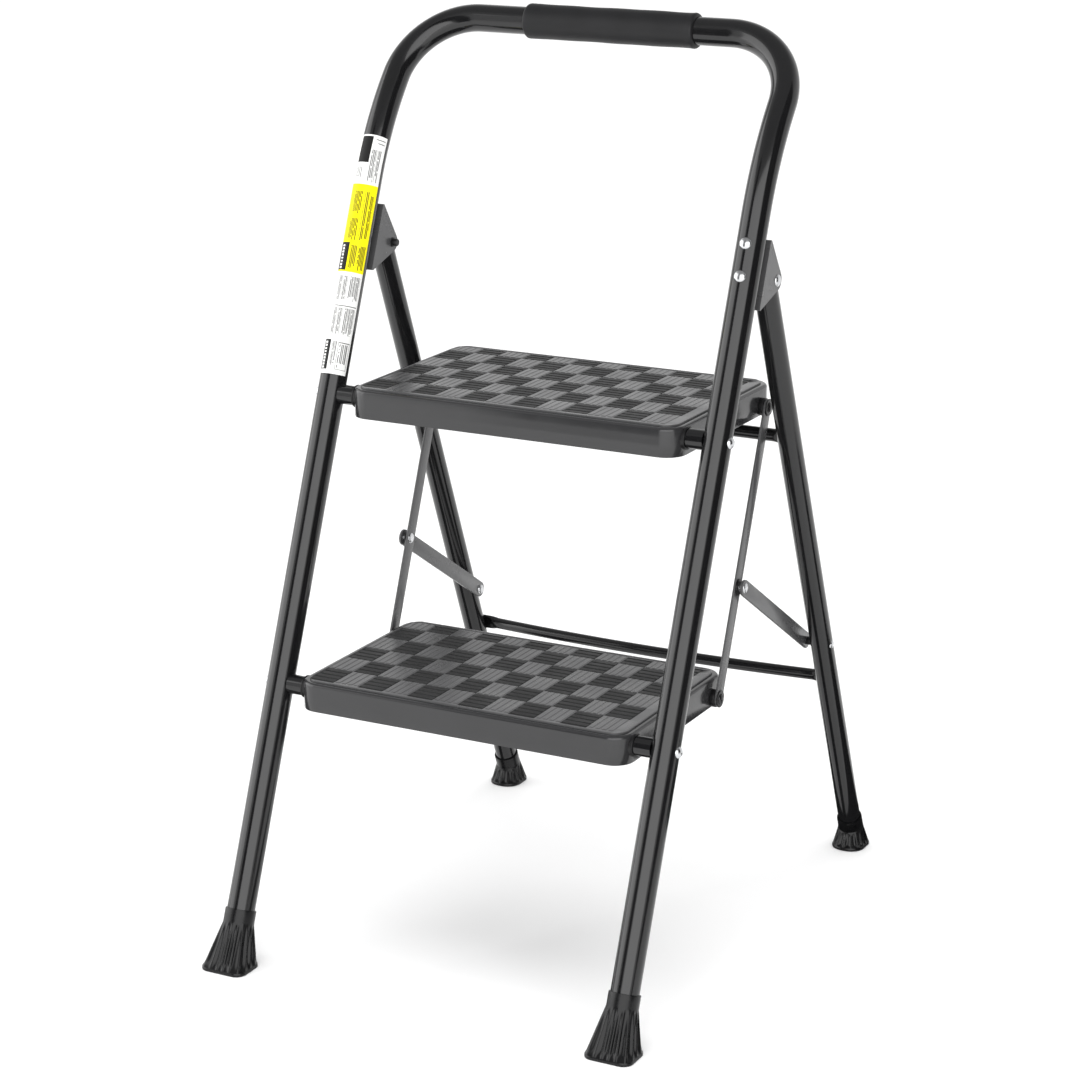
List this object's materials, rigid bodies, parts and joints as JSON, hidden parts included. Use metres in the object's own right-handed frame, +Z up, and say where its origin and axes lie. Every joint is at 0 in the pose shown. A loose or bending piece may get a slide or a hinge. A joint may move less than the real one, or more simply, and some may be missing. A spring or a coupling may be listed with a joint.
{
  "type": "step stool",
  "caption": "Folding household step stool with a bent-tube frame, tall padded handle, wide ribbed treads and rubber feet.",
  "frame": {"origin": "on the floor under the middle of the open stool", "axes": "+Z up, +Y towards the rear frame, +X to the right of a person climbing"},
  "size_m": [0.46, 0.6094, 0.8888],
  "materials": {
    "tube_paint": "gloss black",
    "bar_paint": "satin dark grey",
    "step_paint": "gloss black",
    "tread_mat": "matt, basket-weave relief",
    "grip_foam": "matt foam",
    "rubber": "matt",
    "black_nylon": "matt",
    "zinc_steel": "zinc plated",
    "printed_label": "laminated print"
  },
  "bodies": {
    "front_frame": {"front_frame_tube": "tube_paint", "handle_grip": "grip_foam", "leg_label": "printed_label", "hinge_bracket_left": "bar_paint", "hinge_bracket_right": "bar_paint", "bracket_rivets": "zinc_steel", "hinge_pins": "zinc_steel", "top_axle_tube": "tube_paint", "bottom_axle_tube": "tube_paint", "top_axle_bolt": "zinc_steel", "bottom_axle_bolt": "zinc_steel", "front_foot_left": "rubber", "front_foot_right": "rubber"},
    "rear_frame": {"rear_leg_left": "tube_paint", "rear_leg_right": "tube_paint", "upper_crossbar": "tube_paint", "lower_crossbar": "tube_paint", "crossbar_rivets": "zinc_steel", "brace_rivets": "zinc_steel", "brace_spacers": "black_nylon", "rear_foot_left": "rubber", "rear_foot_right": "rubber"},
    "top_step": {"top_step_pan": "step_paint", "top_step_mat": "tread_mat", "top_step_bushings": "black_nylon", "top_link_spacers": "black_nylon", "top_link_washers": "black_nylon", "top_link_rivets": "zinc_steel"},
    "bottom_step": {"bottom_step_pan": "step_paint", "bottom_step_mat": "tread_mat", "bottom_step_bushings": "black_nylon", "bottom_link_spacers": "black_nylon", "bottom_link_washers": "black_nylon", "bottom_link_rivets": "zinc_steel"},
    "link_left": {"link_left": "bar_paint", "link_middle_rivet_left": "zinc_steel", "link_middle_washer_left": "black_nylon"},
    "brace_left": {"brace_left": "bar_paint", "brace_stud_left": "zinc_steel"},
    "link_right": {"link_right": "bar_paint", "link_middle_rivet_right": "zinc_steel", "link_middle_washer_right": "black_nylon"},
    "brace_right": {"brace_right": "bar_paint", "brace_stud_right": "zinc_steel"}
  },
  "joints": [
    {"name": "rear_fold", "type": "hinge", "parent": "front_frame", "child": "rear_frame", "pos_m": [0, 0.01894, 0.6575], "axis": [1, 0, 0], "range_deg": [-43, 0]},
    {"name": "top_step_fold", "type": "hinge", "parent": "front_frame", "child": "top_step", "pos_m": [0, -0.07972, 0.5244], "axis": [1, 0, 0], "range_deg": [0, 65.3]},
    {"name": "bottom_step_fold", "type": "hinge", "parent": "front_frame", "child": "bottom_step", "pos_m": [0, -0.18298, 0.259], "axis": [1, 0, 0], "range_deg": [0, 65.3]},
    {"name": "link_pivot_left", "type": "hinge", "parent": "top_step", "child": "link_left", "pos_m": [-0.1813, 0.09088, 0.517], "axis": [1, 0, 0], "range_deg": [-65.3, 0]},
    {"name": "brace_pivot_left", "type": "hinge", "parent": "rear_frame", "child": "brace_left", "pos_m": [-0.1888, 0.18599, 0.254], "axis": [1, 0, 0], "range_deg": [-26.7, 0]},
    {"name": "link_pivot_right", "type": "hinge", "parent": "top_step", "child": "link_right", "pos_m": [0.1813, 0.09088, 0.517], "axis": [1, 0, 0], "range_deg": [-65.3, 0]},
    {"name": "brace_pivot_right", "type": "hinge", "parent": "rear_frame", "child": "brace_right", "pos_m": [0.1888, 0.18599, 0.254], "axis": [1, 0, 0], "range_deg": [-26.7, 0]}
  ],
  "couplings": [
    {"joint": "top_step_fold", "follows": "rear_fold", "ratio": -1.5163},
    {"joint": "bottom_step_fold", "follows": "rear_fold", "ratio": -1.5163},
    {"joint": "link_pivot_left", "follows": "rear_fold", "ratio": 1.5163},
    {"joint": "brace_pivot_left", "follows": "rear_fold", "ratio": 0.6195},
    {"joint": "link_pivot_right", "follows": "rear_fold", "ratio": 1.5163},
    {"joint": "brace_pivot_right", "follows": "rear_fold", "ratio": 0.6195}
  ]
}
